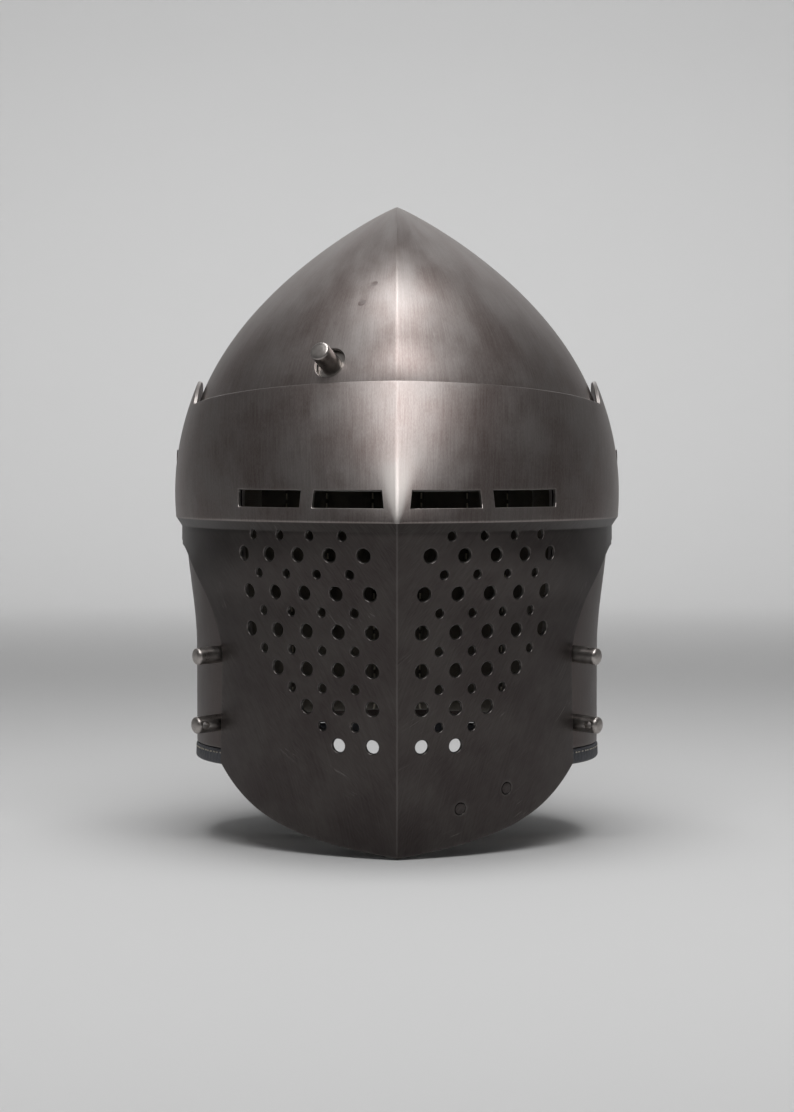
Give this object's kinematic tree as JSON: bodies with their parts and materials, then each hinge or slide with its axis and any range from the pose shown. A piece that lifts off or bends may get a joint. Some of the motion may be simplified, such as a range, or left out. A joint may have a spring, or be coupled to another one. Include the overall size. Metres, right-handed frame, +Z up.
{
  "type": "great helm",
  "caption": "Pointed steel helm with a medial ridge and one large pivoted visor with sights and drilled breaths, a spring latch, neck guard pegs and a quilted liner.",
  "frame": {"origin": "midpoint between the visor's two pivots, on their axis", "axes": "+Z up, front towards -Y, +X to the wearer's left, which is the picture's right; node names use the picture's left and right"},
  "size_m": [0.23, 0.2768, 0.3265],
  "materials": {
    "skull_steel": "satin brushed plate, slightly warm, with a lengthwise grain",
    "visor_steel": "satin brushed plate, darker below the ledge, with curved diagonal brush marks",
    "fitting_steel": "smooth turned steel",
    "dark_steel": "blued spring steel and dull nuts",
    "brass": "satin brass",
    "liner_cloth": "undyed quilted linen with sewn channels",
    "hem_leather": "dark leather binding with a pale stitch",
    "strap_leather": "brown harness leather"
  },
  "bodies": {
    "skull": {"skull": "skull_steel", "peg_upper_left": "fitting_steel", "peg_upper_right": "fitting_steel", "peg_lower_left": "fitting_steel", "peg_lower_right": "fitting_steel", "latch_rivets": "fitting_steel", "strap_rivet_left": "fitting_steel", "strap_rivet_right": "fitting_steel", "pivot_pin_left": "fitting_steel", "pivot_pin_right": "fitting_steel", "latch_spring": "dark_steel", "pivot_nut_left": "dark_steel", "pivot_nut_right": "dark_steel", "pivot_washer_left": "dark_steel", "pivot_washer_right": "dark_steel", "peg_washers": "dark_steel", "pivot_spacer_left": "brass", "pivot_spacer_right": "brass", "strap_stud": "brass", "liner": "liner_cloth", "liner_hem": "hem_leather", "strap_left": "strap_leather", "strap_right": "strap_leather", "strap_keeper": "strap_leather"},
    "visor": {"visor": "visor_steel", "chin_rivets": "visor_steel"},
    "latch": {"latch_pin": "fitting_steel"}
  },
  "joints": [
    {"name": "visor_swing", "type": "hinge", "parent": "skull", "child": "visor", "pos_m": [0, 0, 0], "axis": [-1, 0, 0], "range_deg": [0, 60], "deforming": ["latch_pin"]},
    {"name": "latch_press", "type": "slide", "parent": "skull", "child": "latch", "axis": [0.4022, 0.7813, -0.4773], "range_m": [0, 0.0118], "stiffness_N_per_m": 400, "deforming": ["latch_spring"]}
  ]
}
